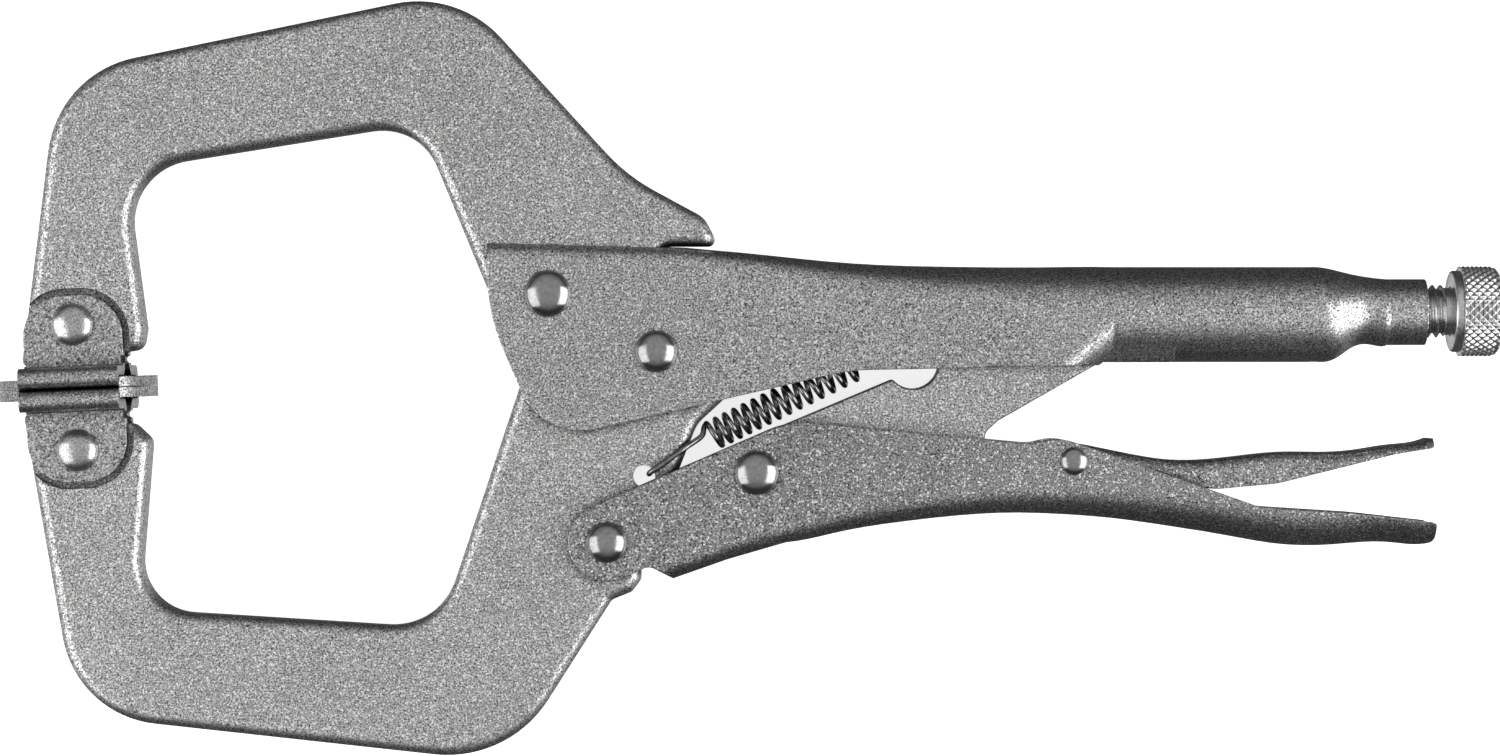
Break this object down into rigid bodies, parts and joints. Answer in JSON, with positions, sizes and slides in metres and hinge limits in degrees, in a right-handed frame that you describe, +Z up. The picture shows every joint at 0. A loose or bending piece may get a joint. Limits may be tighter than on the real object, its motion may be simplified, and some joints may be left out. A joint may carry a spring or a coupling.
{
  "type": "locking c clamp",
  "caption": "Locking C clamp: flat C jaws with swivel pads, over-centre toggle handles, release lever, return spring and knurled adjusting screw, in satin plated steel.",
  "frame": {"origin": "centre of the fixed pad's clamping face, on the clamp's mid-plane", "axes": "the clamp lies flat: +X along the handle towards the adjusting knob, +Y towards the fixed jaw, +Z up through the thickness of the jaws"},
  "size_m": [0.2796, 0.1403, 0.0266],
  "materials": {
    "pressed_steel": "satin bead-blasted nickel plate on pressed sheet",
    "jaw_steel": "satin bead-blasted nickel plate on flat bar",
    "pad_steel": "satin nickel plate on stamped sheet",
    "rivet_steel": "polished nickel plate",
    "screw_steel": "bright rolled thread",
    "knob_steel": "bright diamond knurl",
    "spring_wire": "dark glossy spring wire"
  },
  "bodies": {
    "upper_body": {"upper_handle": "pressed_steel", "fixed_jaw": "jaw_steel", "fixed_jaw_rivet": "rivet_steel", "jaw_pivot_rivet": "rivet_steel", "fixed_pad_rivet": "rivet_steel", "jaw_spring": "spring_wire"},
    "jaw_body": {"moving_jaw": "jaw_steel", "handle_pivot_rivet": "rivet_steel", "moving_pad_rivet": "rivet_steel"},
    "lever_body": {"lower_handle": "pressed_steel", "link_pivot_rivet": "rivet_steel", "lever_pivot_rivet": "rivet_steel"},
    "link_body": {"toggle_link": "jaw_steel"},
    "release_body": {"release_lever": "pressed_steel"},
    "fixed_pad_body": {"fixed_pad": "pad_steel"},
    "moving_pad_body": {"moving_pad": "pad_steel"},
    "screw_body": {"adjusting_screw": "screw_steel"},
    "knob_body": {"adjusting_knob": "knob_steel"}
  },
  "joints": [
    {"name": "jaw_swing", "type": "hinge", "parent": "upper_body", "child": "jaw_body", "pos_m": [0.1079, 0.0069, 0], "axis": [0, 0, 1], "range_deg": [0, 14], "deforming": ["jaw_spring"]},
    {"name": "handle_swing", "type": "hinge", "parent": "jaw_body", "child": "lever_body", "pos_m": [0.0987, -0.0285, 0], "axis": [0, 0, 1], "range_deg": [-50.09, 0]},
    {"name": "link_swing", "type": "hinge", "parent": "lever_body", "child": "link_body", "pos_m": [0.1265, -0.0156, 0], "axis": [0, 0, 1], "range_deg": [0, 52.25]},
    {"name": "release_press", "type": "hinge", "parent": "lever_body", "child": "release_body", "pos_m": [0.1852, -0.0134, 0], "axis": [0, 0, 1], "range_deg": [-7.5, 0]},
    {"name": "fixed_pad_swivel", "type": "hinge", "parent": "upper_body", "child": "fixed_pad_body", "pos_m": [-0.0005, 0.01189, 0], "axis": [0, 0, 1], "range_deg": [0, 7.05]},
    {"name": "moving_pad_swivel", "type": "hinge", "parent": "jaw_body", "child": "moving_pad_body", "pos_m": [0.00048, -0.01145, 0], "axis": [0, 0, 1], "range_deg": [-7.05, 0]},
    {"name": "screw_travel", "type": "slide", "parent": "upper_body", "child": "screw_body", "axis": [1, 0, 0], "range_m": [0, 0.02]},
    {"name": "knob_spin", "type": "hinge", "parent": "screw_body", "child": "knob_body", "pos_m": [0.26, 0.0144, 0], "axis": [1, 0, 0], "range_deg": [0, 4801]}
  ],
  "couplings": [
    {"joint": "handle_swing", "follows": "jaw_swing", "ratio": -3.574},
    {"joint": "link_swing", "follows": "jaw_swing", "ratio": 3.7287},
    {"joint": "fixed_pad_swivel", "follows": "jaw_swing", "ratio": 0.5},
    {"joint": "moving_pad_swivel", "follows": "jaw_swing", "ratio": -0.5},
    {"joint": "knob_spin", "follows": "screw_travel", "rad_per_m": 4188.8}
  ]
}
